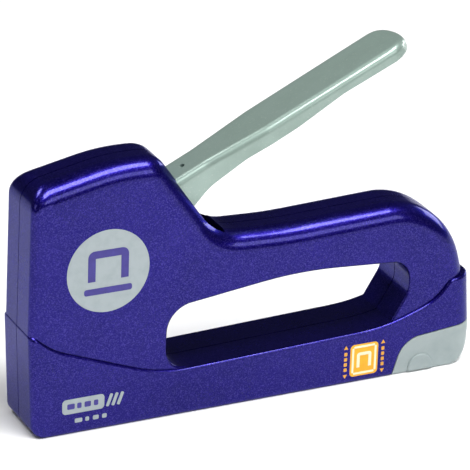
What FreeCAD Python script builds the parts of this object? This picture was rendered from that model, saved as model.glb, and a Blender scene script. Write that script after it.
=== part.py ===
"""Hand staple gun: two moulded body shells, a pressed steel squeeze lever, a spring hammer and a pull-out magazine.

Millimetres. +X runs from the nose to the rear, +Z up, Y across the body.
The origin is the middle of the base: half way along the body, on the seam plane, at the bottom face.
Outlines are drawn in the XZ plane as (distance back from the nose, height, corner radius).
"""

import FreeCAD, Part
import math
import os

Vector = FreeCAD.Vector

# ---- Body shells ----
body_length = 161.0
head_height = 90.5
grip_height = 60.0
upper_width = 22.0
band_width = 24.0
side_wall = 2.4
edge_wall = 2.6
top_fillet = 6.5
nose_fillet = 2.2
ridge_fillet = 0.95
base_fillet = 1.0
hole_edge_fillet = 0.9
seam_width = 0.35
seam_depth = 0.5
band_front_height = 37.4
band_low_height = 15.8
band_rear_height = 32.4
nose_corner_radius = 2.5
rear_corner_radius = 7.0
upper_foot = 12.0
finger_hole_front = 47.9
finger_hole_rear_gap = 25.4
finger_hole_height = 43.3
hole_rear_lean = 0.6
hole_rear_bulge_height = finger_hole_height - 13.3
hole_corner_radius = 6.8

# ---- Squeeze lever ----
lever_angle = 25.8
lever_travel = 28.0
lever_reach = 108.0
lever_top = 7.0
lever_neck_width = 13.6
lever_grip_width = 18.0
lever_sheet = 1.2
lever_shoulder = 2.4
lever_tip_run = 4.5
lever_tip_drop = 2.0
lever_tip_bend = 10.0
web_front = -14.5
pivot_from_nose = 38.0
pivot_height = 65.5
pivot_pin_radius = 2.5
lift_arm = 25.0
lift_pin_radius = 2.0
key_hole_radius = 1.0
key_hole_reach = 23.8

# ---- Hammer, driver and power spring ----
driver_thickness = 0.8
driver_width = 10.4
driver_tip_height = 0.3
hammer_length = 12.9
hammer_width = 12.4
hammer_tongue_width = 9.6
hammer_bottom = 28.0
hammer_shoulder = 49.0
hammer_hook_thickness = 3.2
buffer_thickness = 4.7
spring_radius = 5.0
spring_wire = 1.5
spring_seat_thickness = 1.6
spring_seat_height = 80.8
nose_plate_thickness = 0.8
nose_plate_height = 38.0
nose_plate_from_nose = 3.25

# ---- Magazine ----
channel_width = 13.2
channel_height = 13.5
channel_bottom = 0.6
channel_sheet = 0.8
channel_end_gap = 11.0
rail_width = 9.2
rail_height = 11.5
rail_bottom = 1.2
pusher_length = 9.0
pusher_sheet = 0.6
rod_radius = 1.2
rod_height = 6.5
pusher_spring_radius = 2.8
cap_block_from_rear = 11.0
cap_wall = 2.6
cap_boundary_from_rear = 31.0
cap_boundary_height = 12.4
grip_tab_radius = 4.7
grip_tab_proud = 0.6
grip_tab_from_rear = 20.3

# ---- Fasteners and marks ----
screw_radius = 1.45
screw_head_radius = 2.7
screw_head_height = 2.2
screw_boss_radius = 3.3
screw_seat = 7.8
screw_tip = 8.2
cross_pin_radius = 1.5
badge_radius = 14.2
badge_from_nose = 26.8
badge_height = 55.0
mark_thickness = 0.25
label_width = 10.3
label_height = 11.6
label_corner = 1.4
label_from_rear = 41.6
label_centre_height = 8.0

# ---- Clearances ----
running_gap = 0.3
pin_play = 0.05
fit_gap = 0.1
part_gap = 0.4

# ---- Worked out from the above ----
upper_half = upper_width / 2
band_half = band_width / 2
cavity_half = upper_half - side_wall
stroke = lift_arm * (math.sin(math.radians(lever_angle)) + math.sin(math.radians(lever_travel - lever_angle)))
lift_x = pivot_from_nose - lift_arm * math.cos(math.radians(lever_angle))
lift_z = pivot_height - lift_arm * math.sin(math.radians(lever_angle))
driver_front = nose_plate_from_nose + nose_plate_thickness + running_gap
driver_rear = driver_front + driver_thickness
hammer_rear = driver_rear + hammer_length
hook_bottom = lift_z + lift_pin_radius + running_gap
hook_top = hook_bottom + hammer_hook_thickness
spring_axis = driver_rear + hammer_length / 2
channel_front = driver_rear + part_gap
channel_rear = body_length - channel_end_gap
cap_block_front = body_length - cap_block_from_rear
lug_front = cap_block_front - 8.0
hole_rear = body_length - finger_hole_rear_gap
through = band_width + 20.0


def at(x, z, y=0.0):
    """A point from its distance back from the nose, its height and its place across the body."""
    return Vector(x - body_length / 2, y, z)


def outline(corners, place=at):
    """A closed wire of straight runs joined by an arc at each corner that has a radius."""
    count = len(corners)
    runs = []
    for index, (x, z, radius) in enumerate(corners):
        before = place(*corners[index - 1][:2])
        corner = place(x, z)
        after = place(*corners[(index + 1) % count][:2])
        if radius == 0:
            runs.append((corner, None, corner))
            continue
        back = (before - corner).normalize()
        onward = (after - corner).normalize()
        half_angle = back.getAngle(onward) / 2
        tangent = radius / math.tan(half_angle)
        inward = (back + onward).normalize()
        middle = corner + inward * (radius / math.sin(half_angle) - radius)
        runs.append((corner + back * tangent, middle, corner + onward * tangent))
    edges = []
    for index, (start, middle, end) in enumerate(runs):
        if middle is not None:
            edges.append(Part.Arc(start, middle, end).toShape())
        next_start = runs[(index + 1) % count][0]
        if end.distanceToPoint(next_start) > 1e-6:
            edges.append(Part.LineSegment(end, next_start).toShape())
    return Part.Wire(edges)


def across(wire, low_y, high_y):
    """The solid swept across the body by a wire of the XZ plane."""
    face = Part.Face(wire)
    face.translate(Vector(0, low_y, 0))
    return face.extrude(Vector(0, high_y - low_y, 0))


def block(x0, x1, y0, y1, z0, z1):
    """A box between two distances from the nose, two places across and two heights."""
    return Part.makeBox(x1 - x0, y1 - y0, z1 - z0, at(x0, z0, y0))


def cross_rod(x, z, radius, y0, y1):
    """A round bar that runs across the body."""
    return Part.makeCylinder(radius, y1 - y0, at(x, z, y0), Vector(0, 1, 0))


def long_rod(x0, x1, z, radius):
    """A round bar that runs along the body on the seam plane."""
    return Part.makeCylinder(radius, x1 - x0, at(x0, z), Vector(1, 0, 0))


def grown(wire, distance):
    """The wire moved outwards by a distance, or inwards where it is negative."""
    moved = wire.makeOffset2D(abs(distance))
    larger = Part.Face(moved).Area > Part.Face(wire).Area
    if larger == (distance > 0):
        return moved
    return wire.makeOffset2D(-abs(distance))


def fuse_all(shapes):
    """One solid from several that overlap."""
    return shapes[0].fuse(shapes[1:]).removeSplitter()


# ---- Body outlines ----

def upper_outline():
    """The head, the saddle behind it and the grip."""
    grip_end = body_length - 26.0
    return outline([
        (0.2, band_front_height - 5.4, 0),
        (1.1, head_height - 6.0, 8.5),
        (30.0, head_height, 70.0),
        (45.0, head_height - 0.5, 9.0),
        (66.3, grip_height, 16.0),
        (90.0, grip_height - 1.1, 150.0),
        (grip_end, grip_height + 0.6, 25.0),
        (body_length - 8.0, grip_height - 9.6, 30.0),
        (body_length - 2.2, band_rear_height - 5.0, 0),
        (body_length - 16.0, upper_foot, 0),
        (4.0, upper_foot, 0),
    ])


def band_outline():
    """The stepped-out band along the foot of the body; its top edge is the ridge."""
    return outline([
        (1.3, 0.0, 4.5),
        (0.0, band_front_height, 0),
        (8.5, band_front_height - 7.2, 25.0),
        (46.0, band_low_height, 50.0),
        (body_length - 34.0, band_low_height + 2.5, 60.0),
        (body_length - 15.0, band_rear_height - 7.4, 20.0),
        (body_length - 10.1, band_rear_height - 0.9, 3.5),
        (body_length - 1.6, band_rear_height, 0),
        (body_length, 12.0, 20.0),
        (body_length - 0.4, 0.0, 9.0),
    ])


def finger_hole_outline(foot):
    """The finger hole, open downwards to the given height."""
    rear_top = finger_hole_height - 3.0
    return outline([
        (finger_hole_front, foot, 0),
        (finger_hole_front, finger_hole_height - 5.7, 9.5),
        (95.0, finger_hole_height, 140.0),
        (hole_rear, rear_top, 7.0),
        (hole_rear + 0.2, hole_rear_bulge_height, 8.0),
        (hole_rear + 0.2 - hole_rear_lean * (hole_rear_bulge_height - foot), foot, 0),
    ])


def hole_corner_outline():
    """The gusset that rounds the hole's front wall out onto the band's top."""
    return outline([
        (finger_hole_front - 2.0, upper_foot - 6.0, 0),
        (finger_hole_front - 2.0, band_low_height + 9.0, 0),
        (finger_hole_front, band_low_height + 9.0, 0),
        (finger_hole_front, band_low_height + 0.9, hole_corner_radius),
        (finger_hole_front + 14.0, band_low_height - 0.1, 0),
        (finger_hole_front + 14.0, upper_foot - 6.0, 0),
    ])


def cap_outline():
    """The part of the band that belongs to the magazine's end cap."""
    front = body_length - cap_boundary_from_rear
    return outline([
        (front, -10.0, 0),
        (front + 0.2, 0.0, 0),
        (front + 4.2, cap_boundary_height, 9.0),
        (body_length + 10.0, cap_boundary_height + 3.4, 0),
        (body_length + 10.0, -10.0, 0),
    ])


# ---- Body solids ----

def chosen_edges(shape, wanted):
    """The edges of a shape whose ends and middle all pass a test."""
    found = []
    for edge in shape.Edges:
        middle = edge.valueAt((edge.FirstParameter + edge.LastParameter) / 2)
        points = [vertex.Point for vertex in edge.Vertexes] + [middle]
        if all(wanted(point) for point in points):
            found.append(edge)
    return found


def rolled_edges(solid, radius_at):
    """The solid with side edges rounded; the radius may change along each edge, from point to point."""
    document = FreeCAD.newDocument("rounding")
    base = document.addObject("Part::Feature", "base")
    base.Shape = solid
    rounding = document.addObject("Part::Fillet", "rounded")
    rounding.Base = base
    radii = []
    for index, edge in enumerate(solid.Edges):
        start = edge.valueAt(edge.FirstParameter)
        end = edge.valueAt(edge.LastParameter)
        start_radius = radius_at(start)
        end_radius = radius_at(end)
        crosses_body = start.y * end.y < 0
        if start_radius and end_radius and not crosses_body:
            radii.append((index + 1, start_radius, end_radius))
    rounding.Edges = radii
    document.recompute()
    rounded = rounding.Shape.copy()
    FreeCAD.closeDocument("rounding")
    return rounded


def rounded_upper():
    """The upper body, well rounded over the top and less so down the nose, with the finger hole."""
    solid = across(upper_outline(), -upper_half, upper_half)
    nose_face = at(1.6, 0).x

    def radius_at(point):
        if point.z < upper_foot + 1.0:
            return None
        return nose_fillet if point.x < nose_face else top_fillet

    def on_hole_rim(point):
        in_hole = at(finger_hole_front - 1.0, 0).x < point.x < at(hole_rear + 1.0, 0).x
        return in_hole and abs(abs(point.y) - upper_half) < 1e-6 and point.z < finger_hole_height + 0.1

    gusset = across(hole_corner_outline(), -through, through)
    hole = across(finger_hole_outline(upper_foot - 5.0), -through, through).cut(gusset)
    rounded = rolled_edges(solid, radius_at).cut(hole)
    rim = [edge for edge in chosen_edges(rounded, on_hole_rim) if edge.BoundBox.ZMax > upper_foot + 1.0]
    return rounded.makeFillet(hole_edge_fillet, rim)


def rounded_band():
    """The band with its nose and rear corners rounded, its ridge rolled over and its base edge broken."""
    solid = across(band_outline(), -band_half, band_half)
    nose_face = at(1.6, 0).x
    rear_face = at(body_length - 2.5, 0).x

    def radius_at(point):
        if point.z < 0.01:
            return base_fillet
        if point.x < nose_face:
            return nose_corner_radius
        if point.x > rear_face:
            return rear_corner_radius
        return None

    solid = rolled_edges(solid, radius_at)
    ridge = [face for face in solid.Faces if is_ridge(face)]
    rim = []
    for edge in (edge for face in ridge for edge in face.Edges):
        sharing = [face for face in ridge if any(edge.isSame(other) for other in face.Edges)]
        if len(sharing) == 1:
            rim.append(edge)
    return solid.makeFillet(ridge_fillet, rim)


def is_ridge(face):
    """Whether a face is on the top of the band."""
    middle = face.CenterOfMass
    normal = face.normalAt(*face.Surface.parameter(middle))
    return normal.z > 0.6 and middle.z > band_low_height - 1.0


def body_outer():
    """The whole outer form of the two shells together, finger hole and all."""
    return rounded_upper().fuse(rounded_band()).removeSplitter()


def body_cavity():
    """The hollow that both shells share, clear of the wall round the finger hole."""
    upper = across(grown(upper_outline(), -edge_wall), -cavity_half, cavity_half)
    band = across(grown(band_outline(), -edge_wall), -cavity_half, cavity_half)
    hole_wall = across(grown(finger_hole_outline(band_low_height - edge_wall), edge_wall), -through, through)
    return upper.fuse(band).cut(hole_wall)


# ---- Lever, drawn level about its pivot and then turned ----

def lever_plan(inset):
    """The lever's outline from above."""
    neck = lever_neck_width / 2 - inset
    grip = lever_grip_width / 2 - inset
    tip = lever_reach - inset
    half = [
        (-lift_arm - 10.0, neck, 0),
        (30.0, neck, 20.0),
        (52.0, grip - 0.2, 20.0),
        (lever_reach - 20.0, grip, 0),
        (tip, grip, grip - 0.4),
    ]
    other = [(x, -y, radius) for x, y, radius in reversed(half)]
    return outline(half + other, place=lambda x, y: Vector(x, y, -30.0))


def lever_side(inset):
    """The lever's outline from the side; the inner one runs on below so that it opens downwards."""
    top = lever_top - inset
    tip = lever_reach
    slope = lever_tip_run / lever_tip_drop
    bend = tip - lever_tip_run
    if inset > 0:
        inner_bend = bend - inset * math.tan(math.atan(1 / slope) / 2)
        corners = [
            (web_front + 1.0, -25.0, 0),
            (web_front + 1.0, top, 0),
            (inner_bend, top, lever_tip_bend - inset),
            (inner_bend + slope * (top + 25.0), -25.0, 0),
        ]
    else:
        nose = lift_pin_radius + 1.7
        corners = [
            (-lift_arm - nose, -nose, nose - 0.1),
            (-lift_arm - nose, nose, nose - 0.1),
            (-20.5, nose, 5.0),
            (web_front, top, 0),
            (bend, top, lever_tip_bend),
            (tip, top - lever_tip_drop, 0),
            (tip, top - lever_tip_drop - lever_shoulder - 0.4, 0),
            (tip - 28.0, top - 4.2, 20.0),
            (tip - 46.0, top - 5.8, 30.0),
            (tip - 66.0, top - 6.1, 20.0),
            (27.0, top - 8.4, 15.0),
            (17.5, -5.2, 6.0),
            (-12.0, -5.2, 8.0),
        ]
    return outline(corners, place=lambda x, z: Vector(x, 0, z))


def lever_solid(inset):
    """Side view and plan view together, with rolled shoulders."""
    side = across(lever_side(inset), -through, through)
    plan = Part.Face(lever_plan(inset)).extrude(Vector(0, 0, 60.0))
    solid = side.common(plan).Solids[0]
    top = lever_top - inset
    bend = lever_reach - lever_tip_run
    front = web_front - 0.5

    def on_top(point):
        drop = max(0.0, point.x - bend) * lever_tip_drop / lever_tip_run
        return point.x > front and abs(point.z - (top - drop)) < inset + 1.2

    shoulders = []
    for edge in chosen_edges(solid, on_top):
        ends = [vertex.Point for vertex in edge.Vertexes]
        tip_edge = min(end.x for end in ends) > lever_reach - inset - 0.1
        if ends[0].y * ends[-1].y > 0 or tip_edge:
            shoulders.append(edge)
    return solid.makeFillet(lever_shoulder - inset, shoulders)


def placed_on_lever(shape):
    """Turns a shape from the level lever drawing to the lever's rest angle and puts it at the pivot."""
    turned = shape.copy()
    turned.rotate(Vector(0, 0, 0), Vector(0, 1, 0), -lever_angle)
    turned.translate(at(pivot_from_nose, pivot_height))
    return turned


def lever_rod(x, radius, half_length):
    """A round bar across the lever, on the line of its pivot."""
    return Part.makeCylinder(radius, 2 * half_length, Vector(x, -half_length, 0), Vector(0, 1, 0))


def make_lever():
    """Pressed steel channel: grip, neck, two cheeks for the pivot, and two arms for the lift pin."""
    inner_half = lever_neck_width / 2 - lever_sheet
    throat = Part.makeBox(30.0, 2 * inner_half, 40.0, Vector(-43.4, -inner_half, -20.0))
    solid = lever_solid(0).cut(lever_solid(lever_sheet)).cut(throat)
    solid = solid.cut(lever_rod(0, pivot_pin_radius + pin_play, through))
    solid = solid.cut(lever_rod(-lift_arm, lift_pin_radius, through))
    key_hole = Part.makeCylinder(key_hole_radius, 10.0, Vector(key_hole_reach, 0, lever_top - 5.0))
    return placed_on_lever(solid.cut(key_hole))


def make_lift_pin():
    """Hardened pin across the front of the lever that picks the hammer up."""
    return placed_on_lever(lever_rod(-lift_arm, lift_pin_radius, lever_neck_width / 2))


def make_pivot_pin():
    """Fixed pin that the lever turns on, seated in a boss of each shell."""
    half = cavity_half + 1.0
    return cross_rod(pivot_from_nose, pivot_height, pivot_pin_radius, -half, half)


def make_lever_spring():
    """Outer form of the torsion spring wound round the pivot pin."""
    inner = pivot_pin_radius + part_gap
    half = lever_neck_width / 2 - lever_sheet - 1.2
    outer = cross_rod(pivot_from_nose, pivot_height, inner + 1.5, -half, half)
    return outer.cut(cross_rod(pivot_from_nose, pivot_height, inner, -half, half))


def stop_pin_place():
    """Centre of the pin that the lever's front arms rest on."""
    down = 5.2 + cross_pin_radius + running_gap
    angle = math.radians(lever_angle)
    back = -8.0
    x = pivot_from_nose + back * math.cos(angle) + down * math.sin(angle)
    z = pivot_height + back * math.sin(angle) - down * math.cos(angle)
    return x, z


def make_stop_pin():
    """Pin that holds the lever at its open position."""
    x, z = stop_pin_place()
    half = cavity_half + 1.0
    return cross_rod(x, z, cross_pin_radius, -half, half)


# ---- Hammer group ----

def make_hammer():
    """Steel block on the driver: a broad foot, and a tongue with a hook that the lift pin catches."""
    half = hammer_width / 2
    tongue_half = hammer_tongue_width / 2
    foot = block(driver_rear, hammer_rear, -half, half, hammer_bottom, hammer_shoulder)
    tongue = block(driver_rear, hammer_rear, -tongue_half, tongue_half, hammer_shoulder - 1.0, hook_top)
    throat_front = lift_x - 2.9 - lift_pin_radius
    throat_bottom = lift_z - lift_pin_radius - running_gap
    throat = block(throat_front, hammer_rear + 1.0, -half, half, throat_bottom, hook_bottom)
    peg = Part.makeCylinder(spring_radius - spring_wire - fit_gap, 2.5, at(spring_axis, hook_top - 0.5))
    lightening = cross_rod(spring_axis, hammer_bottom + 9.0, 4.0, -half, half)
    return fuse_all([foot, tongue, peg]).cut(throat).cut(lightening).cut(rivet_shanks(0.0))


def rivet_shanks(extra):
    """The two rivets through the driver into the hammer, as plain bars."""
    depth = driver_thickness + 4.0
    shanks = []
    for height in (hammer_bottom + 3.0, hammer_shoulder - 4.0):
        start = at(driver_front, height)
        shanks.append(Part.makeCylinder(1.2 + extra, depth, start, Vector(1, 0, 0)))
    return Part.makeCompound(shanks)


def make_driver():
    """Flat driver blade, down at the staple slot when the hammer rests."""
    half = driver_width / 2
    blade = block(driver_front, driver_rear, -half, half, driver_tip_height, hammer_shoulder + 1.0)
    return blade.cut(rivet_shanks(0.0))


def make_power_spring():
    """Outer form of the power spring between the hammer and its seat."""
    top = spring_seat_height - spring_seat_thickness
    base = at(spring_axis, hook_top)
    outer = Part.makeCylinder(spring_radius, top - hook_top, base)
    return outer.cut(Part.makeCylinder(spring_radius - spring_wire, top - hook_top, base))


def make_spring_seat():
    """Cup under the roof of the head that the power spring pushes against."""
    low = spring_seat_height - spring_seat_thickness
    disc = Part.makeCylinder(spring_radius + 0.4, spring_seat_thickness, at(spring_axis, low))
    peg = Part.makeCylinder(spring_radius - spring_wire - fit_gap, 2.5, at(spring_axis, low - 2.0))
    return fuse_all([disc, peg])


def make_buffer():
    """Rubber block that the hammer lands on."""
    half = hammer_width / 2
    top = hammer_bottom - running_gap
    pad = block(driver_rear + part_gap, hammer_rear, -half, half, top - buffer_thickness, top)
    return pad.makeFillet(0.8, chosen_edges(pad, lambda p: p.z > top - 0.01))


def make_nose_plate():
    """Hardened plate behind the nose that guides the driver."""
    half = driver_width / 2 + 1.8
    rear = nose_plate_from_nose + nose_plate_thickness
    return block(nose_plate_from_nose, rear, -half, half, driver_tip_height, nose_plate_height)


# ---- Magazine ----

def ear_places():
    """Distances from the nose of the two pins that hang the channel in the shells."""
    return (24.0, body_length - 26.5)


def make_channel():
    """Fixed steel channel over the staples, hung on two cross pins by ears on its walls."""
    half = channel_width / 2
    inner = half - channel_sheet
    solid = block(channel_front, channel_rear, -half, half, channel_bottom, channel_height)
    ears = []
    for place in ear_places():
        ears.append(block(place - 2.6, place + 2.6, -half, half, channel_height - 2.0, channel_height + 4.4))
    solid = fuse_all([solid] + ears)
    top = channel_height - channel_sheet
    solid = solid.cut(block(channel_front - 1, channel_rear + 1, -inner, inner, -1.0, top))
    for place in ear_places():
        solid = solid.cut(block(place - 3, place + 3, -inner, inner, channel_height, channel_height + 6.0))
        solid = solid.cut(cross_rod(place, ear_height(), cross_pin_radius, -through, through))
    return solid


def ear_height():
    """Height of the channel's cross pins."""
    return channel_height + 0.3 + cross_pin_radius + 0.4


def make_channel_pins():
    """The two cross pins that hang the channel."""
    half = cavity_half + 1.0
    pins = [cross_rod(place, ear_height(), cross_pin_radius, -half, half) for place in ear_places()]
    return Part.makeCompound(pins)


def make_rail():
    """Upward-open steel rail that the staples ride on; it draws out with the end cap."""
    half = rail_width / 2
    inner = half - channel_sheet
    front = channel_front + part_gap
    solid = block(front, cap_block_front, -half, half, rail_bottom, rail_height)
    floor = rail_bottom + channel_sheet
    hollow = block(front + channel_sheet, cap_block_front + 1, -inner, inner, floor, rail_height + 1)
    solid = solid.cut(hollow).cut(long_rod(front - 1, front + 2, rod_height, rod_radius))
    return solid.cut(cross_rod(cap_block_front - 3.5, rod_height + 3.0, 1.0, -through, through))


def make_guide_rod():
    """Thin rod inside the rail that carries the pusher spring."""
    return long_rod(channel_front + part_gap, lug_front + 4.0, rod_height, rod_radius)


def make_pusher():
    """Saddle that straddles the rail, with a tongue on the rod for the spring to push."""
    front = channel_front + 2 * part_gap + channel_sheet + running_gap
    rear = front + pusher_length
    leg_inner = rail_width / 2 + running_gap
    leg_outer = leg_inner + pusher_sheet
    top = rail_height + running_gap + pusher_sheet
    saddle = block(front, rear, -leg_outer, leg_outer, 4.0, top)
    saddle = saddle.cut(block(front - 1, rear + 1, -leg_inner, leg_inner, 3.0, top - pusher_sheet))
    tongue_half = rail_width / 2 - channel_sheet - running_gap
    tongue_bottom = rail_bottom + channel_sheet + running_gap
    tongue = block(front, rear, -tongue_half, tongue_half, tongue_bottom, top - pusher_sheet / 2)
    return fuse_all([saddle, tongue]).cut(long_rod(front - 1, rear + 1, rod_height, rod_radius + running_gap))


def make_pusher_spring():
    """Outer form of the long spring between the pusher and the end cap."""
    front = channel_front + 2 * part_gap + channel_sheet + running_gap + pusher_length
    outer = long_rod(front, lug_front, rod_height, pusher_spring_radius)
    return outer.cut(long_rod(front, lug_front, rod_height, rod_radius + running_gap))


def make_end_cap(band):
    """Moulded end cap: the lower rear corner of the band, with a lug for the rail and two grip tabs."""
    region = across(cap_outline(), -through, through)
    cap = band.common(region)
    inner_half = band_half - cap_wall
    cap = cap.cut(block(0, cap_block_front, -inner_half, inner_half, -1.0, 40.0))
    lug_half = rail_width / 2 - channel_sheet
    lug = block(lug_front, cap_block_front + 1.0, -lug_half, lug_half, rail_bottom + channel_sheet, rail_height)
    tabs = grip_tabs()
    cap = fuse_all([cap, lug, tabs[0], tabs[1]])
    cap = cap.cut(long_rod(lug_front - 1, lug_front + 4.0, rod_height, rod_radius))
    return cap.cut(cross_rod(cap_block_front - 3.5, rod_height + 3.0, 1.0, -lug_half - 1, lug_half + 1))


def grip_tabs():
    """A raised half-moon on each side of the cap for finger and thumb."""
    centre_x = body_length - grip_tab_from_rear
    face = band_half + grip_tab_proud
    tabs = []
    for side in (-1, 1):
        low = min(side * face, side * (band_half - 1.0))
        disc = cross_rod(centre_x, 1.6, grip_tab_radius, low, low + grip_tab_proud + 1.0)
        rim = chosen_edges(disc, lambda p: abs(p.y - side * face) < 1e-6)
        disc = disc.makeFillet(grip_tab_proud * 0.8, rim)
        reach = grip_tab_radius + 1.0
        disc = disc.common(block(centre_x - reach, centre_x + reach, -through, through, 0.8, 20.0))
        tabs.append(disc)
    return tabs


def make_cap_pin():
    """Cross pin that holds the rail on the end cap's lug."""
    return cross_rod(cap_block_front - 3.5, rod_height + 3.0, 1.0, -rail_width / 2, rail_width / 2)


# ---- Shells ----

def screw_places():
    """Where the body screws stand: (distance from the nose, height)."""
    return [
        (24.0, head_height - 8.5),
        (31.0, 44.0),
        (58.0, grip_height - 10.0),
        (body_length - 18.0, grip_height - 17.5),
        (34.0, channel_height + 15.0),
        (body_length - 15.5, channel_height + 9.0),
    ]


def make_screws():
    """Countersunk self-tapping screws, all driven from the right side."""
    screws = []
    for x, z in screw_places():
        shank = cross_rod(x, z, screw_radius, -screw_tip, screw_seat + 0.5)
        head = cross_rod(x, z, screw_head_radius, screw_seat, screw_seat + screw_head_height)
        head = head.makeFillet(0.5, chosen_edges(head, lambda p: p.y > screw_seat + screw_head_height - 0.01))
        screw = shank.fuse(head)
        top = screw_seat + screw_head_height
        screw = screw.cut(block(x - 1.6, x + 1.6, top - 1.2, top + 1, z - 0.35, z + 0.35))
        screw = screw.cut(block(x - 0.35, x + 0.35, top - 1.2, top + 1, z - 1.6, z + 1.6))
        screws.append(screw)
    return Part.makeCompound(screws)


def pin_bosses():
    """Cross pins that seat in the shells: (distance from the nose, height, pin radius, boss tip)."""
    lever_side_gap = lever_neck_width / 2 + running_gap
    stop_x, stop_z = stop_pin_place()
    bosses = [
        (pivot_from_nose, pivot_height, pivot_pin_radius, lever_side_gap),
        (stop_x, stop_z, cross_pin_radius, lever_side_gap),
    ]
    for place in ear_places():
        bosses.append((place, ear_height(), cross_pin_radius, channel_width / 2 + fit_gap))
    return bosses


def inner_supports(side):
    """Bosses, the buffer's shelf and the hammer's guide rib, for one shell."""
    supports = []
    for x, z, radius, tip in pin_bosses():
        low, high = sorted((side * tip, side * (cavity_half + 0.5)))
        supports.append(cross_rod(x, z, radius + 1.3, low, high))
    for x, z in screw_places():
        low, high = sorted((side * 0.05, side * (cavity_half + 0.5)))
        supports.append(cross_rod(x, z, screw_boss_radius, low, high))
    wall = cavity_half + 0.5
    shelf_top = hammer_bottom - running_gap - buffer_thickness
    low, high = sorted((side * 0.05, side * wall))
    supports.append(block(driver_rear + part_gap, hammer_rear + 4.0, low, high, shelf_top - 2.4, shelf_top))
    low, high = sorted((side * 3.0, side * wall))
    rib_front = hammer_rear + running_gap
    supports.append(block(rib_front, rib_front + 1.5, low, high, shelf_top - 1.0, hammer_shoulder - 1.0))
    seat_low = spring_seat_height - spring_seat_thickness
    low, high = sorted((side * 0.05, side * wall))
    roof = block(spring_axis - 5.5, spring_axis + 5.5, low, high, spring_seat_height, head_height)
    supports.append(roof)
    low, high = sorted((side * (spring_radius + 0.5), side * wall))
    supports.append(block(spring_axis - 2.0, spring_axis + 2.0, low, high, seat_low - 2.0, head_height))
    return supports


def lever_slot():
    """The opening in the back of the head and the saddle that the lever swings in."""
    half = lever_neck_width / 2 + 0.5
    rise = math.tan(math.radians(lever_angle))
    top_front = pivot_height + (lever_top + part_gap) / math.cos(math.radians(lever_angle))
    exit_x = pivot_from_nose + 22.0
    slot = outline([
        (pivot_from_nose, pivot_height - 12.0, 0),
        (pivot_from_nose, top_front, 0),
        (exit_x, top_front + rise * (exit_x - pivot_from_nose), 0),
        (exit_x + 18.0, grip_height + 6.0, 0),
        (pivot_from_nose + 30.8, grip_height + 1.0, 2.0),
        (pivot_from_nose + 30.8, pivot_height - 12.0, 0),
    ])
    return across(slot, -half, half)


def make_shells():
    """The two body shells, left and right."""
    outer = body_outer()
    cavity = body_cavity()
    cap_region = across(grown(cap_outline(), running_gap), -through, through)
    magazine = block(
        channel_front - part_gap / 2, body_length + 1, -channel_width / 2 - fit_gap,
        channel_width / 2 + fit_gap, -1.0, channel_height + fit_gap)
    plate_half = driver_width / 2 + 1.8 + fit_gap
    plate_slot = block(
        nose_plate_from_nose - 0.01, channel_front, -plate_half, plate_half, -1.0, nose_plate_height + fit_gap)
    slot = lever_slot()
    hollow = outer.cut(cavity)
    shells = {}
    for side, name in ((-1, "shell_left"), (1, "shell_right")):
        low, high = sorted((0.0, side * through))
        half_space = block(-20, body_length + 20, low, high, -20, head_height + 20)
        inside = outer.common(half_space)
        supports = [support.common(inside) for support in inner_supports(side)]
        shell = hollow.common(half_space)
        shell = shell.fuse(supports)
        shell = shell.cut(magazine).cut(plate_slot).cut(slot).cut(cap_region)
        for x, z, radius, _ in pin_bosses():
            shell = shell.cut(cross_rod(x, z, radius, -cavity_half - 1.0, cavity_half + 1.0))
        for x, z in screw_places():
            shell = shell.cut(cross_rod(x, z, screw_radius + pin_play, -screw_tip - 0.3, screw_seat + 1))
            shell = shell.cut(cross_rod(x, z, screw_head_radius + 0.3, screw_seat, through))
        for groove in seam_grooves():
            shell = shell.cut(groove)
        shells[name] = shell.removeSplitter()
    shells["shell_left"] = shells["shell_left"].cut(badge_solid()).cut(label_solid())
    return shells


def seam_grooves():
    """The seam line round the head and grip, round the band and inside the finger hole."""
    half = seam_width / 2
    body = across(upper_outline(), -half, half).fuse(across(band_outline(), -half, half))
    inner_upper = across(grown(upper_outline(), -seam_depth), -half, half)
    inner_band = across(grown(band_outline(), -seam_depth), -half, half)
    hole_wide = across(grown(finger_hole_outline(band_low_height), seam_depth), -half, half)
    solid_core = inner_upper.fuse(inner_band)
    ring = body.cut(solid_core)
    hole_ring = body.common(hole_wide)
    return [ring, hole_ring]


def badge_solid():
    """Thin round badge let into the side of the head."""
    return cross_rod(badge_from_nose, badge_height, badge_radius, -upper_half, -upper_half + mark_thickness)


def label_solid():
    """Thin staple size label let into the side of the band."""
    centre = body_length - label_from_rear
    half_w = label_width / 2
    half_h = label_height / 2
    low = label_centre_height - half_h
    high = label_centre_height + half_h
    wire = outline([
        (centre - half_w, low, label_corner),
        (centre + half_w, low, label_corner),
        (centre + half_w, high, label_corner),
        (centre - half_w, high, label_corner),
    ])
    return across(wire, -band_half, -band_half + mark_thickness)


def build():
    """Every piece by its name."""
    pieces = make_shells()
    pieces["shell_screws"] = make_screws()
    pieces["round_badge"] = badge_solid()
    pieces["size_label"] = label_solid()
    pieces["lever"] = make_lever()
    pieces["lift_pin"] = make_lift_pin()
    pieces["lever_pivot_pin"] = make_pivot_pin()
    pieces["lever_return_spring"] = make_lever_spring()
    pieces["lever_stop_pin"] = make_stop_pin()
    pieces["hammer"] = make_hammer()
    pieces["driver_blade"] = make_driver()
    pieces["driver_rivets"] = rivet_shanks(0.0)
    pieces["power_spring"] = make_power_spring()
    pieces["spring_seat"] = make_spring_seat()
    pieces["hammer_buffer"] = make_buffer()
    pieces["nose_plate"] = make_nose_plate()
    pieces["magazine_channel"] = make_channel()
    pieces["channel_pins"] = make_channel_pins()
    pieces["staple_rail"] = make_rail()
    pieces["guide_rod"] = make_guide_rod()
    pieces["staple_pusher"] = make_pusher()
    pieces["pusher_spring"] = make_pusher_spring()
    pieces["end_cap"] = make_end_cap(rounded_band())
    pieces["end_cap_pin"] = make_cap_pin()
    return pieces


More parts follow.
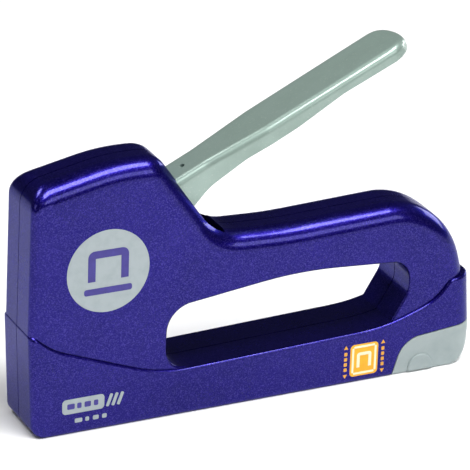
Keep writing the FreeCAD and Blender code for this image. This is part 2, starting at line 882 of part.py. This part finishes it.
def main():
    """Writes one STEP file for each piece."""
    os.makedirs("parts", exist_ok=True)
    for name, shape in build().items():
        shape.exportStep("parts/" + name + ".step")
        print(name, "solids", len(shape.Solids), "valid", shape.isValid(), "volume", round(shape.Volume, 1))
    print("hammer stroke", round(stroke, 3))


main()
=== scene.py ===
"""Looks of a hand staple gun: pearl violet shells, silver lever, grey cap, printed marks, wound springs."""

import math

import bpy
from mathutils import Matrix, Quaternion, Vector


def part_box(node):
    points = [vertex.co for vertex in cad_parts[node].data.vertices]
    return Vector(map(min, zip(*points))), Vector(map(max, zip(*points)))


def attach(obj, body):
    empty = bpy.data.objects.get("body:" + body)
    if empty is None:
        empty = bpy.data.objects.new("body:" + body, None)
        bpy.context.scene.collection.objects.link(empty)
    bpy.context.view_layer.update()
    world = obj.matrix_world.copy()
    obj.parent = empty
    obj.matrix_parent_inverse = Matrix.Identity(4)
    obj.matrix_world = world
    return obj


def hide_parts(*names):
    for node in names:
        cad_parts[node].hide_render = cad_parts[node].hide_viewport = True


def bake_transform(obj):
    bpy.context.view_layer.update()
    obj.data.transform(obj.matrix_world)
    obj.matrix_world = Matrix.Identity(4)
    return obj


MM = 0.001

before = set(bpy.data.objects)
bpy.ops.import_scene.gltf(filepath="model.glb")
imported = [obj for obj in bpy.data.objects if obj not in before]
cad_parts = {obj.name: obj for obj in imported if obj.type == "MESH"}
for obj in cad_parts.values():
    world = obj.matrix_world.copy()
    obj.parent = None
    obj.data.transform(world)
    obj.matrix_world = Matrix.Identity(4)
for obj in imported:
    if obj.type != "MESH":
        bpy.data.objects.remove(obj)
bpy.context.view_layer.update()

# ---- Places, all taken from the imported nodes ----

SIDE_FACE_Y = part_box("round_badge")[0].y
BAND_FACE_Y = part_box("size_label")[0].y
NOSE_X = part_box("shell_left")[0].x
PRINT_DEPTH = 0.06 * MM


# ---- Small tools ----

def linear_colour(srgb_hex):
    """A hex sRGB colour as linear red, green, blue and alpha."""
    channels = []
    for start in (0, 2, 4):
        value = int(srgb_hex[start:start + 2], 16) / 255
        if value <= 0.04045:
            channels.append(value / 12.92)
        else:
            channels.append(((value + 0.055) / 1.055) ** 2.4)
    return (*channels, 1.0)


def add_node(material, kind, settings=None, links=None):
    """Adds a node with its settings (a property, or a socket by name or number) and its links."""
    node = material.node_tree.nodes.new(kind)
    for key, value in (settings or {}).items():
        if isinstance(key, str) and hasattr(node, key):
            setattr(node, key, value)
        else:
            node.inputs[key].default_value = value
    for key, source in (links or {}).items():
        material.node_tree.links.new(source, node.inputs[key])
    return node


def new_material(name):
    """An empty node material with its output, ready for a shader."""
    material = bpy.data.materials.new(name)
    material.use_nodes = True
    material.node_tree.nodes.clear()
    return material


def give_finish(material, shader):
    """Puts the shader on the material's surface."""
    output = add_node(material, "ShaderNodeOutputMaterial")
    material.node_tree.links.new(shader.outputs[0], output.inputs["Surface"])
    return material


def per_size(millimetres):
    """The texture scale that repeats at a real size."""
    return 1 / (millimetres * MM)


# ---- Materials ----

def pearl_violet_abs():
    """Gloss ABS with pearl pigment: deep violet with pale glints, faint orange peel, rubbed at the foot."""
    material = new_material("pearl_violet_abs")
    place = add_node(material, "ShaderNodeTexCoord").outputs["Object"]
    # the pigment grains are about 0.1 mm; drawn at 0.28 mm so that they show
    grains = add_node(material, "ShaderNodeTexVoronoi", {"Scale": per_size(0.28)}, {"Vector": place})
    grain_value = add_node(material, "ShaderNodeSeparateColor", {}, {"Color": grains.outputs["Color"]})
    glint = add_node(material, "ShaderNodeMapRange", {"From Min": 0.55, "From Max": 1.0, "To Max": 0.34},
                     {"Value": grain_value.outputs["Red"]})
    flow = add_node(material, "ShaderNodeTexNoise", {"Scale": per_size(22), "Detail": 2.0}, {"Vector": place})
    flow_share = add_node(material, "ShaderNodeMapRange", {"From Min": 0.35, "From Max": 0.65},
                          {"Value": flow.outputs["Fac"]})
    body_colour = add_node(material, "ShaderNodeMix", {"data_type": "RGBA", 6: linear_colour("0F0763"),
                                                       7: linear_colour("140A6B")},
                           {0: flow_share.outputs["Result"]})
    pearl_colour = add_node(material, "ShaderNodeMix", {"data_type": "RGBA", 7: linear_colour("564AB4")},
                            {0: glint.outputs["Result"], 6: body_colour.outputs[2]})
    # rubbing on boards greys the lowest millimetre
    height = add_node(material, "ShaderNodeSeparateXYZ", {}, {"Vector": place})
    near_foot = add_node(material, "ShaderNodeMapRange", {"From Min": 0.2 * MM, "From Max": 1.3 * MM,
                                                          "To Min": 0.55, "To Max": 0.0},
                         {"Value": height.outputs["Z"]})
    rub_noise = add_node(material, "ShaderNodeTexNoise", {"Scale": per_size(3.5), "Detail": 4.0},
                         {"Vector": place})
    rub = add_node(material, "ShaderNodeMath", {"operation": "MULTIPLY"},
                   {0: near_foot.outputs["Result"], 1: rub_noise.outputs["Fac"]})
    worn_colour = add_node(material, "ShaderNodeMix", {"data_type": "RGBA", 7: linear_colour("5A5684")},
                           {0: rub.outputs["Value"], 6: pearl_colour.outputs[2]})
    # handling leaves the gloss a little uneven
    smudge = add_node(material, "ShaderNodeTexNoise",
                      {"Scale": per_size(14), "Detail": 5.0, "Roughness": 0.6},
                      {"Vector": place})
    gloss = add_node(material, "ShaderNodeMapRange", {"From Min": 0.3, "From Max": 0.75,
                                                      "To Min": 0.25, "To Max": 0.35},
                     {"Value": smudge.outputs["Fac"]})
    gloss_worn = add_node(material, "ShaderNodeMath", {"operation": "ADD"},
                          {0: gloss.outputs["Result"], 1: rub.outputs["Value"]})
    peel = add_node(material, "ShaderNodeTexNoise", {"Scale": per_size(1.6), "Detail": 1.0},
                    {"Vector": place})
    peel_bump = add_node(material, "ShaderNodeBump", {"Strength": 0.25, "Distance": 0.02 * MM},
                         {"Height": peel.outputs["Fac"]})
    grain_bump = add_node(material, "ShaderNodeBump", {"Strength": 0.22, "Distance": 0.05 * MM},
                          {"Height": grain_value.outputs["Green"], "Normal": peel_bump.outputs["Normal"]})
    # pearl flakes mirror like metal and stay violet at a glancing view; the clear skin over them is thin
    shader = add_node(material, "ShaderNodeBsdfPrincipled",
                      {"IOR": 1.5, "Metallic": 0.86, "Specular Tint": linear_colour("5A54C8"),
                       "Coat Weight": 0.38, "Coat Roughness": 0.11},
                      {"Base Color": worn_colour.outputs[2], "Roughness": gloss_worn.outputs["Value"],
                       "Normal": grain_bump.outputs["Normal"]})
    return give_finish(material, shader)


def silver_lever_enamel():
    """Sprayed silver enamel on pressed steel: a soft grey-green sheen, pale specks, faint hand smudges."""
    material = new_material("silver_lever_enamel")
    place = add_node(material, "ShaderNodeTexCoord").outputs["Object"]
    spray = add_node(material, "ShaderNodeTexNoise", {"Scale": per_size(0.7), "Detail": 3.0},
                     {"Vector": place})
    hand = add_node(material, "ShaderNodeTexNoise", {"Scale": per_size(16), "Detail": 5.0},
                    {"Vector": place})
    hand_share = add_node(material, "ShaderNodeMapRange", {"From Min": 0.35, "From Max": 0.7},
                          {"Value": hand.outputs["Fac"]})
    colour = add_node(material, "ShaderNodeMix", {"data_type": "RGBA", 6: linear_colour("96AAA2"),
                                                  7: linear_colour("889C93")},
                      {0: hand_share.outputs["Result"]})
    speck = add_node(material, "ShaderNodeMapRange", {"From Min": 0.6, "From Max": 0.75, "To Max": 0.25},
                     {"Value": spray.outputs["Fac"]})
    speckled = add_node(material, "ShaderNodeMix", {"data_type": "RGBA", 7: linear_colour("C6D0CA")},
                        {0: speck.outputs["Result"], 6: colour.outputs[2]})
    roughness = add_node(material, "ShaderNodeMapRange", {"To Min": 0.3, "To Max": 0.44},
                         {"Value": hand_share.outputs["Result"]})
    bump = add_node(material, "ShaderNodeBump", {"Strength": 0.2, "Distance": 0.02 * MM},
                    {"Height": spray.outputs["Fac"]})
    # aluminium flakes in clear lacquer: half metal, under a smooth coat
    shader = add_node(material, "ShaderNodeBsdfPrincipled",
                      {"Metallic": 0.45, "IOR": 1.5, "Coat Weight": 0.6, "Coat Roughness": 0.06},
                      {"Base Color": speckled.outputs[2], "Roughness": roughness.outputs["Result"],
                       "Normal": bump.outputs["Normal"]})
    return give_finish(material, shader)


def grey_sparked_abs():
    """Grey ABS from a spark-eroded mould: an even fine matt grain, a little dirt in it."""
    material = new_material("grey_sparked_abs")
    place = add_node(material, "ShaderNodeTexCoord").outputs["Object"]
    grain = add_node(material, "ShaderNodeTexNoise", {"Scale": per_size(0.35), "Detail": 2.0},
                     {"Vector": place})
    dirt = add_node(material, "ShaderNodeTexNoise", {"Scale": per_size(7), "Detail": 5.0}, {"Vector": place})
    dirt_share = add_node(material, "ShaderNodeMapRange", {"From Min": 0.45, "From Max": 0.75},
                          {"Value": dirt.outputs["Fac"]})
    colour = add_node(material, "ShaderNodeMix", {"data_type": "RGBA", 6: linear_colour("9CA8A8"),
                                                  7: linear_colour("8F9C9D")},
                      {0: dirt_share.outputs["Result"]})
    roughness = add_node(material, "ShaderNodeMapRange", {"To Min": 0.42, "To Max": 0.56},
                         {"Value": grain.outputs["Fac"]})
    bump = add_node(material, "ShaderNodeBump", {"Strength": 0.3, "Distance": 0.03 * MM},
                    {"Height": grain.outputs["Fac"]})
    shader = add_node(material, "ShaderNodeBsdfPrincipled", {"IOR": 1.54},
                      {"Base Color": colour.outputs[2], "Roughness": roughness.outputs["Result"],
                       "Normal": bump.outputs["Normal"]})
    return give_finish(material, shader)


def steel(name, light, dark, line_mm, stretch, smooth, rough):
    """Bare or plated steel: fine lines left by drawing, grinding or rolling, in two greys."""
    material = new_material(name)
    place = add_node(material, "ShaderNodeTexCoord").outputs["Object"]
    drawn = add_node(material, "ShaderNodeMapping", {"Scale": stretch}, {"Vector": place})
    lines = add_node(material, "ShaderNodeTexNoise", {"Scale": per_size(line_mm), "Detail": 4.0},
                     {"Vector": drawn.outputs["Vector"]})
    tarnish = add_node(material, "ShaderNodeTexNoise", {"Scale": per_size(9), "Detail": 4.0},
                       {"Vector": place})
    colour = add_node(material, "ShaderNodeMix", {"data_type": "RGBA", 6: linear_colour(light),
                                                  7: linear_colour(dark)},
                      {0: tarnish.outputs["Fac"]})
    roughness = add_node(material, "ShaderNodeMapRange", {"To Min": smooth, "To Max": rough},
                         {"Value": lines.outputs["Fac"]})
    bump = add_node(material, "ShaderNodeBump", {"Strength": 0.2, "Distance": 0.01 * MM},
                    {"Height": lines.outputs["Fac"]})
    shader = add_node(material, "ShaderNodeBsdfPrincipled", {"Metallic": 1.0},
                      {"Base Color": colour.outputs[2], "Roughness": roughness.outputs["Result"],
                       "Normal": bump.outputs["Normal"]})
    return give_finish(material, shader)


def black_moulding(name, hex_light, hex_dark, grain_mm, smooth, rough, ior):
    """Black moulded acetal or rubber: near black with a fine grain and a dusty bloom."""
    material = new_material(name)
    place = add_node(material, "ShaderNodeTexCoord").outputs["Object"]
    grain = add_node(material, "ShaderNodeTexNoise", {"Scale": per_size(grain_mm), "Detail": 3.0},
                     {"Vector": place})
    bloom = add_node(material, "ShaderNodeTexNoise", {"Scale": per_size(5), "Detail": 4.0}, {"Vector": place})
    colour = add_node(material, "ShaderNodeMix", {"data_type": "RGBA", 6: linear_colour(hex_dark),
                                                  7: linear_colour(hex_light)},
                      {0: bloom.outputs["Fac"]})
    roughness = add_node(material, "ShaderNodeMapRange", {"To Min": smooth, "To Max": rough},
                         {"Value": grain.outputs["Fac"]})
    bump = add_node(material, "ShaderNodeBump", {"Strength": 0.2, "Distance": 0.02 * MM},
                    {"Height": grain.outputs["Fac"]})
    shader = add_node(material, "ShaderNodeBsdfPrincipled", {"IOR": ior},
                      {"Base Color": colour.outputs[2], "Roughness": roughness.outputs["Result"],
                       "Normal": bump.outputs["Normal"]})
    return give_finish(material, shader)


def pad_print(name, full_hex, thin_hex, metallic, roughness_low, roughness_high):
    """Pad printed ink: an even film a little thinner in places, with a slight screen texture."""
    material = new_material(name)
    place = add_node(material, "ShaderNodeTexCoord").outputs["Object"]
    film = add_node(material, "ShaderNodeTexNoise", {"Scale": per_size(2.5), "Detail": 4.0},
                    {"Vector": place})
    film_share = add_node(material, "ShaderNodeMapRange", {"From Min": 0.4, "From Max": 0.8},
                          {"Value": film.outputs["Fac"]})
    colour = add_node(material, "ShaderNodeMix", {"data_type": "RGBA", 6: linear_colour(full_hex),
                                                  7: linear_colour(thin_hex)},
                      {0: film_share.outputs["Result"]})
    screen = add_node(material, "ShaderNodeTexNoise", {"Scale": per_size(0.3), "Detail": 2.0},
                      {"Vector": place})
    roughness = add_node(material, "ShaderNodeMapRange", {"To Min": roughness_low, "To Max": roughness_high},
                         {"Value": screen.outputs["Fac"]})
    bump = add_node(material, "ShaderNodeBump", {"Strength": 0.12, "Distance": 0.01 * MM},
                    {"Height": screen.outputs["Fac"]})
    shader = add_node(material, "ShaderNodeBsdfPrincipled", {"Metallic": metallic, "IOR": 1.5},
                      {"Base Color": colour.outputs[2], "Roughness": roughness.outputs["Result"],
                       "Normal": bump.outputs["Normal"]})
    return give_finish(material, shader)


ALONG_X = (0.04, 1.0, 1.0)
ALONG_Z = (1.0, 1.0, 0.04)
EVEN = (1.0, 1.0, 1.0)
VIOLET = pearl_violet_abs()
LEVER_ENAMEL = silver_lever_enamel()
GREY_CAP = grey_sparked_abs()
GROUND_STEEL = steel("ground_hard_steel", "A6A6A8", "88888C", 0.5, ALONG_Z, 0.22, 0.42)
ZINC = steel("bright_zinc_plate", "C3C6C8", "A7ABAF", 0.9, ALONG_X, 0.2, 0.38)
SPRING_WIRE = steel("drawn_spring_wire", "8B8B8E", "6C6C70", 0.4, EVEN, 0.25, 0.42)
ACETAL = black_moulding("black_acetal", "242426", "161617", 0.4, 0.34, 0.5, 1.48)
RUBBER = black_moulding("black_buffer_rubber", "1F1F1F", "131313", 0.7, 0.62, 0.85, 1.52)
SILVER_INK = pad_print("silver_pad_print", "A2ACAF", "98A3A6", 0.25, 0.34, 0.46)
VIOLET_INK = pad_print("violet_pad_print", "33297F", "3C3290", 0.0, 0.3, 0.42)
AMBER_FILM = pad_print("amber_label_film", "F9B414", "F2A70E", 0.0, 0.28, 0.38)
CREAM_INK = pad_print("cream_label_print", "FFF2CC", "F8E8BC", 0.0, 0.3, 0.42)
AMBER_INK = pad_print("amber_side_print", "E9A636", "D9982E", 0.0, 0.3, 0.42)

NODE_FINISHES = {
    "shell_left": VIOLET,
    "shell_right": VIOLET,
    "shell_screws": ZINC,
    "round_badge": SILVER_INK,
    "size_label": AMBER_FILM,
    "lever": LEVER_ENAMEL,
    "lift_pin": GROUND_STEEL,
    "lever_pivot_pin": GROUND_STEEL,
    "lever_return_spring": SPRING_WIRE,
    "lever_stop_pin": GROUND_STEEL,
    "hammer": GROUND_STEEL,
    "driver_blade": GROUND_STEEL,
    "driver_rivets": ZINC,
    "power_spring": SPRING_WIRE,
    "spring_seat": ACETAL,
    "hammer_buffer": RUBBER,
    "nose_plate": GROUND_STEEL,
    "magazine_channel": ZINC,
    "channel_pins": GROUND_STEEL,
    "staple_rail": ZINC,
    "guide_rod": ZINC,
    "staple_pusher": ACETAL,
    "pusher_spring": SPRING_WIRE,
    "end_cap": GREY_CAP,
    "end_cap_pin": GROUND_STEEL,
}
for node_name, finish in NODE_FINISHES.items():
    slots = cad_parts[node_name].data.materials
    slots.clear()
    slots.append(finish)


# ---- Modelling ----

def start_clean():
    """Leaves object mode with nothing selected, so that an operator acts on the new piece alone."""
    if bpy.context.object and bpy.context.object.mode != "OBJECT":
        bpy.ops.object.mode_set(mode="OBJECT")
    bpy.ops.object.select_all(action="DESELECT")


def settle(piece, name, material, body):
    """Names a finished piece, applies its place, gives it its finish and ties it to its body."""
    piece.name = name
    piece.data.name = name
    bpy.ops.object.transform_apply(location=True, rotation=True, scale=True)
    piece.data.materials.clear()
    piece.data.materials.append(material)
    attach(piece, body)
    return piece


def pick_faces(piece, wanted):
    """In edit mode, selects only the faces whose centre and normal pass a test."""
    bpy.ops.object.mode_set(mode="EDIT")
    bpy.ops.mesh.select_mode(type="FACE")
    bpy.ops.mesh.select_all(action="DESELECT")
    bpy.ops.object.mode_set(mode="OBJECT")
    for face in piece.data.polygons:
        face.select = wanted(face.center, face.normal)
    bpy.ops.object.mode_set(mode="EDIT")


def pick_edges(piece, wanted):
    """In edit mode, selects only the edges whose two ends pass a test."""
    bpy.ops.object.mode_set(mode="EDIT")
    bpy.ops.mesh.select_mode(type="EDGE")
    bpy.ops.mesh.select_all(action="DESELECT")
    bpy.ops.object.mode_set(mode="OBJECT")
    for edge in piece.data.edges:
        edge.select = wanted(*[piece.data.vertices[index].co for index in edge.vertices])
    bpy.ops.object.mode_set(mode="EDIT")


def through_print(one, other):
    """Whether an edge runs through the thickness of the print."""
    return abs(one.y - other.y) > PRINT_DEPTH / 2


def printed_bar(centre_x, centre_z, face_y, width, height, corner):
    """A thin rounded bar of ink on a side face: a box whose four corner edges are rounded."""
    start_clean()
    middle = (centre_x, face_y - PRINT_DEPTH / 2, centre_z)
    bpy.ops.mesh.primitive_cube_add(size=1, location=middle, scale=(width, PRINT_DEPTH, height))
    bar = bpy.context.object
    bpy.ops.object.transform_apply(location=False, rotation=False, scale=True)
    pick_edges(bar, through_print)
    bpy.ops.mesh.bevel(offset=corner, segments=6, profile=0.5, affect="EDGES")
    bpy.ops.object.mode_set(mode="OBJECT")
    return bar


def staple_mark(centre_x, top_z, face_y, width, height, stroke):
    """A printed staple: a crown bar whose two end faces are drawn down into legs."""
    start_clean()
    middle = (centre_x, face_y - PRINT_DEPTH / 2, top_z - stroke / 2)
    bpy.ops.mesh.primitive_cube_add(size=1, location=middle, scale=(width, PRINT_DEPTH, stroke))
    mark = bpy.context.object
    bpy.ops.object.transform_apply(location=False, rotation=False, scale=True)
    inner = width / 2 - stroke
    bpy.ops.object.mode_set(mode="EDIT")
    for cut_x in (centre_x - inner, centre_x + inner):
        bpy.ops.mesh.select_all(action="SELECT")
        bpy.ops.mesh.bisect(plane_co=(cut_x, 0, 0), plane_no=(1, 0, 0))
    pick_faces(mark, lambda centre, normal: normal.z < -0.9 and abs(centre.x) > inner)
    bpy.ops.mesh.extrude_region_move(TRANSFORM_OT_translate={"value": (0, 0, stroke - height)})
    bpy.ops.object.mode_set(mode="OBJECT")

    def top_corner(one, other):
        return through_print(one, other) and abs(one.x) > width / 2 - 1e-6 and one.z > stroke / 2 - 1e-6

    pick_edges(mark, top_corner)
    bpy.ops.mesh.bevel(offset=stroke * 0.9, segments=6, profile=0.5, affect="EDGES")
    bpy.ops.object.mode_set(mode="OBJECT")
    return mark


def arrow_mark(centre_x, centre_z, face_y, size, turn):
    """A small printed arrowhead: a thin three-sided disc with its points blunted."""
    start_clean()
    middle = (centre_x, face_y - PRINT_DEPTH / 2, centre_z)
    bpy.ops.mesh.primitive_cylinder_add(vertices=3, radius=size, depth=PRINT_DEPTH, location=middle,
                                        rotation=(math.pi / 2, turn, 0))
    mark = bpy.context.object
    bpy.ops.object.transform_apply(location=False, rotation=True, scale=False)
    pick_edges(mark, through_print)
    bpy.ops.mesh.bevel(offset=size * 0.12, segments=2, affect="EDGES")
    bpy.ops.object.mode_set(mode="OBJECT")
    return mark


def join_pieces(pieces):
    """One piece from several, the first one kept."""
    start_clean()
    for piece in pieces:
        piece.select_set(True)
    bpy.context.view_layer.objects.active = pieces[0]
    bpy.ops.object.join()
    return bpy.context.object


def wound_wire(coil_radius, wire_radius, turns, length, leg=0.0):
    """Round wire wound on the Z axis from the origin up: a ring screwed round the axis, ends closed."""
    start_clean()
    bpy.ops.mesh.primitive_circle_add(vertices=10, radius=wire_radius, location=(coil_radius, 0, wire_radius),
                                      rotation=(math.pi / 2, 0, 0))
    coil = bpy.context.object
    bpy.ops.object.transform_apply(location=True, rotation=True, scale=True)
    winding = coil.modifiers.new("winding", "SCREW")
    winding.axis = "Z"
    winding.angle = 2 * math.pi
    winding.screw_offset = (length - 2 * wire_radius) / turns
    winding.iterations = turns
    winding.steps = 28
    winding.render_steps = 28
    bpy.ops.object.modifier_apply(modifier="winding")
    bpy.ops.object.mode_set(mode="EDIT")
    bpy.ops.mesh.select_all(action="SELECT")
    bpy.ops.mesh.remove_doubles(threshold=0.001 * MM)
    bpy.ops.mesh.fill_holes(sides=0)
    bpy.ops.mesh.normals_make_consistent(inside=False)
    if leg > 0:
        for end_height, way in ((wire_radius, -1), (length - wire_radius, 1)):
            pick_faces(coil, lambda centre, normal: abs(centre.z - end_height) < wire_radius * 0.5
                       and abs(centre.y) < wire_radius * 0.2 and abs(normal.y) > 0.7
                       and abs(centre.x - coil_radius) < wire_radius * 0.3)
            bpy.ops.mesh.extrude_region_move(TRANSFORM_OT_translate={"value": (0, way * leg, 0)})
    bpy.ops.object.mode_set(mode="OBJECT")
    bpy.ops.object.shade_smooth_by_angle(angle=math.radians(50))
    return coil


def place_piece(piece, location, rotation):
    """Turns and moves a piece to its place."""
    start_clean()
    piece.select_set(True)
    bpy.context.view_layer.objects.active = piece
    piece.location = location
    piece.rotation_euler = rotation
    return piece


# ---- Printed marks ----

def make_badge_mark():
    """A plain staple sign on the round badge."""
    low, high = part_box("round_badge")
    middle = (low + high) / 2
    sign_top = middle.z + 7.4 * MM
    board_z = middle.z - 6.6 * MM
    mark = staple_mark(middle.x, sign_top, SIDE_FACE_Y, 14 * MM, 10.5 * MM, 2.6 * MM)
    settle(mark, "badge_staple_mark", VIOLET_INK, "body")
    board = printed_bar(middle.x, board_z, SIDE_FACE_Y, 16.5 * MM, 2.2 * MM, 0.8 * MM)
    settle(board, "badge_board_mark", VIOLET_INK, "body")


def make_nose_marks():
    """A silver plate with three slanted strokes and a row of dashes, low on the nose end."""
    plate_x = NOSE_X + 18.4 * MM
    plate_z = 9.9 * MM
    dash_z = 4.6 * MM
    corner = 0.4 * MM
    slant = math.radians(20)
    plate = printed_bar(plate_x, plate_z, BAND_FACE_Y, 14.6 * MM, 5.2 * MM, 1.3 * MM)
    settle(plate, "nose_print_plate", SILVER_INK, "body")
    stripes = []
    for index, width in enumerate((2.6, 1.5, 2.2, 1.5)):
        stripe_x = plate_x + (-4.3 + 2.9 * index) * MM
        stripe_y = BAND_FACE_Y - PRINT_DEPTH
        stripes.append(printed_bar(stripe_x, plate_z, stripe_y, width * MM, 1.9 * MM, corner))
    settle(join_pieces(stripes), "nose_print_stripes", VIOLET_INK, "body")
    strokes = []
    for index in range(3):
        stroke = printed_bar(0, 0, 0, 1.1 * MM, 4.6 * MM, corner)
        stroke_x = plate_x + (9.1 + 1.9 * index) * MM
        stroke_place = (stroke_x, BAND_FACE_Y - PRINT_DEPTH / 2, plate_z)
        strokes.append(place_piece(stroke, stroke_place, (0, slant, 0)))
    settle(join_pieces(strokes), "nose_print_strokes", SILVER_INK, "body")
    dashes = []
    for index, width in enumerate((2.6, 1.3, 2.0, 1.6)):
        dash_x = plate_x + (-1.6 + 3.0 * index) * MM
        dashes.append(printed_bar(dash_x, dash_z, BAND_FACE_Y, width * MM, 1.5 * MM, corner))
    settle(join_pieces(dashes), "nose_print_dashes", SILVER_INK, "body")


def make_label_marks():
    """The amber label's cream frame and staple sign, with arrowheads and dashes beside it."""
    low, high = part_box("size_label")
    middle = (low + high) / 2
    width = high.x - low.x
    height = high.z - low.z
    rim = 0.75 * MM
    margin = 1.0 * MM
    open_corners = 2.6 * MM
    bars = []
    for side in (-1, 1):
        bar_z = middle.z + side * (height / 2 - margin)
        bars.append(printed_bar(middle.x, bar_z, BAND_FACE_Y, width - open_corners, rim, 0.3 * MM))
        bar_x = middle.x + side * (width / 2 - margin)
        bars.append(printed_bar(bar_x, middle.z, BAND_FACE_Y, rim, height - open_corners, 0.3 * MM))
    settle(join_pieces(bars), "label_frame_print", CREAM_INK, "body")
    sign = staple_mark(middle.x, middle.z + 2.7 * MM, BAND_FACE_Y, 5.4 * MM, 5.4 * MM, 1.1 * MM)
    settle(sign, "label_staple_mark", CREAM_INK, "body")
    arrow_rise = 5.1 * MM
    arrow_size = 0.9 * MM
    side_marks = []
    for side in (-1, 1):
        column_x = middle.x + side * (width / 2 + 1.75 * MM)
        side_marks.append(arrow_mark(column_x, middle.z - arrow_rise, BAND_FACE_Y, arrow_size, math.pi))
        side_marks.append(arrow_mark(column_x, middle.z + arrow_rise, BAND_FACE_Y, arrow_size, 0))
        for index in range(4):
            dash_z = middle.z + (index - 1.5) * 1.9 * MM
            side_marks.append(printed_bar(column_x, dash_z, BAND_FACE_Y, 1.1 * MM, 1.25 * MM, 0.25 * MM))
    settle(join_pieces(side_marks), "label_side_marks", AMBER_INK, "body")


# ---- Springs ----

def make_springs():
    """The power spring, the pusher spring and the lever's return spring, wound from wire."""
    low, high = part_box("power_spring")
    middle = (low + high) / 2
    wire = 0.7 * MM
    power = wound_wire(high.x - middle.x - wire, wire, 4, high.z - low.z)
    place_piece(power, (middle.x, middle.y, low.z), (0, 0, 0))
    power.name = "power_coil"
    bpy.ops.object.transform_apply(location=True, rotation=True, scale=True)
    power.data.materials.append(SPRING_WIRE)
    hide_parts("power_spring")
    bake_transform(power)

    low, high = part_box("pusher_spring")
    middle = (low + high) / 2
    wire = 0.35 * MM
    pusher = wound_wire(high.z - middle.z - wire, wire, 34, high.x - low.x)
    place_piece(pusher, (low.x, middle.y, middle.z), (0, math.pi / 2, 0))
    pusher.name = "pusher_coil"
    bpy.ops.object.transform_apply(location=True, rotation=True, scale=True)
    pusher.data.materials.append(SPRING_WIRE)
    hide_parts("pusher_spring")
    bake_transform(pusher)

    low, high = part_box("lever_return_spring")
    middle = (low + high) / 2
    wire = 0.55 * MM
    coil = wound_wire(high.z - middle.z - wire, wire, 5, high.y - low.y, leg=5 * MM)
    place_piece(coil, (middle.x, high.y, middle.z), (math.pi / 2, 0, 0))
    settle(coil, "return_coil", SPRING_WIRE, "body")
    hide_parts("lever_return_spring")


make_badge_mark()
make_nose_marks()
make_label_marks()
make_springs()


# ---- Floor, light and camera ----

def make_floor():
    """A plain pale sheet, wide enough to fill the view."""
    start_clean()
    bpy.ops.mesh.primitive_plane_add(size=12)
    floor = bpy.context.object
    floor.name = "floor"
    paper = new_material("pale_floor")
    place = add_node(paper, "ShaderNodeTexCoord").outputs["Object"]
    tone = add_node(paper, "ShaderNodeTexNoise", {"Scale": 3.0}, {"Vector": place})
    colour = add_node(paper, "ShaderNodeMix", {"data_type": "RGBA", 6: linear_colour("FEFEFE"),
                                               7: linear_colour("FBFBFB")}, {0: tone.outputs["Fac"]})
    shader = add_node(paper, "ShaderNodeBsdfPrincipled", {"Roughness": 0.8},
                      {"Base Color": colour.outputs[2]})
    floor.data.materials.append(give_finish(paper, shader))


def softbox(name, place, aim, width, height, watts):
    """A rectangle of soft white light at a place, turned to face a point."""
    light = bpy.data.lights.new(name, "AREA")
    light.shape = "RECTANGLE"
    light.size = width
    light.size_y = height
    light.energy = watts
    lamp = bpy.data.objects.new(name, light)
    lamp.location = place
    lamp.rotation_euler = (Vector(aim) - Vector(place)).to_track_quat("-Z", "Y").to_euler()
    bpy.context.scene.collection.objects.link(lamp)


def make_lights():
    """Softboxes overhead, in front and at each end, in a dim even surround."""
    body_middle = (0.0, 0.0, 0.05)
    floor_behind = (0.0, 0.1, 0.0)
    softbox("overhead_softbox", (0.15, -0.35, 1.0), body_middle, 0.7, 0.34, 12)
    softbox("front_softbox", (0.5, -1.3, 0.75), body_middle, 0.9, 0.5, 5.5)
    softbox("nose_softbox", (-1.3, -0.5, 0.7), body_middle, 0.5, 0.5, 1.4)
    softbox("back_softbox", (-0.6, 0.45, 1.25), floor_behind, 0.5, 0.4, 7)
    softbox("rear_softbox", (1.3, 0.45, 0.35), body_middle, 0.7, 0.4, 6)
    surround = bpy.data.worlds.new("studio_surround")
    surround.use_nodes = True
    background = surround.node_tree.nodes["Background"]
    background.inputs["Color"].default_value = linear_colour("F4F6FA")
    background.inputs["Strength"].default_value = 0.08
    bpy.context.scene.world = surround
    bpy.context.scene.view_settings.view_transform = "Standard"


def make_camera():
    """A long lens from the front left, a little above, leaning slightly."""
    azimuth = math.radians(-26.1)
    elevation = math.radians(23.8)
    lean = math.radians(2.0)
    distance = 1.113
    aim = Vector((-5.35, -2.03, 55.9)) * MM
    back = Vector((math.sin(azimuth) * math.cos(elevation), -math.cos(azimuth) * math.cos(elevation),
                   math.sin(elevation)))
    lens = bpy.data.cameras.new("camera")
    lens.lens = 264
    lens.sensor_width = 36
    camera = bpy.data.objects.new("camera", lens)
    camera.location = aim + back * distance
    camera.rotation_mode = "QUATERNION"
    camera.rotation_quaternion = (-back).to_track_quat("-Z", "Y") @ Quaternion((0, 0, 1), lean)
    bpy.context.scene.collection.objects.link(camera)
    bpy.context.scene.camera = camera


make_floor()
make_lights()
make_camera()

bpy.context.view_layer.update()
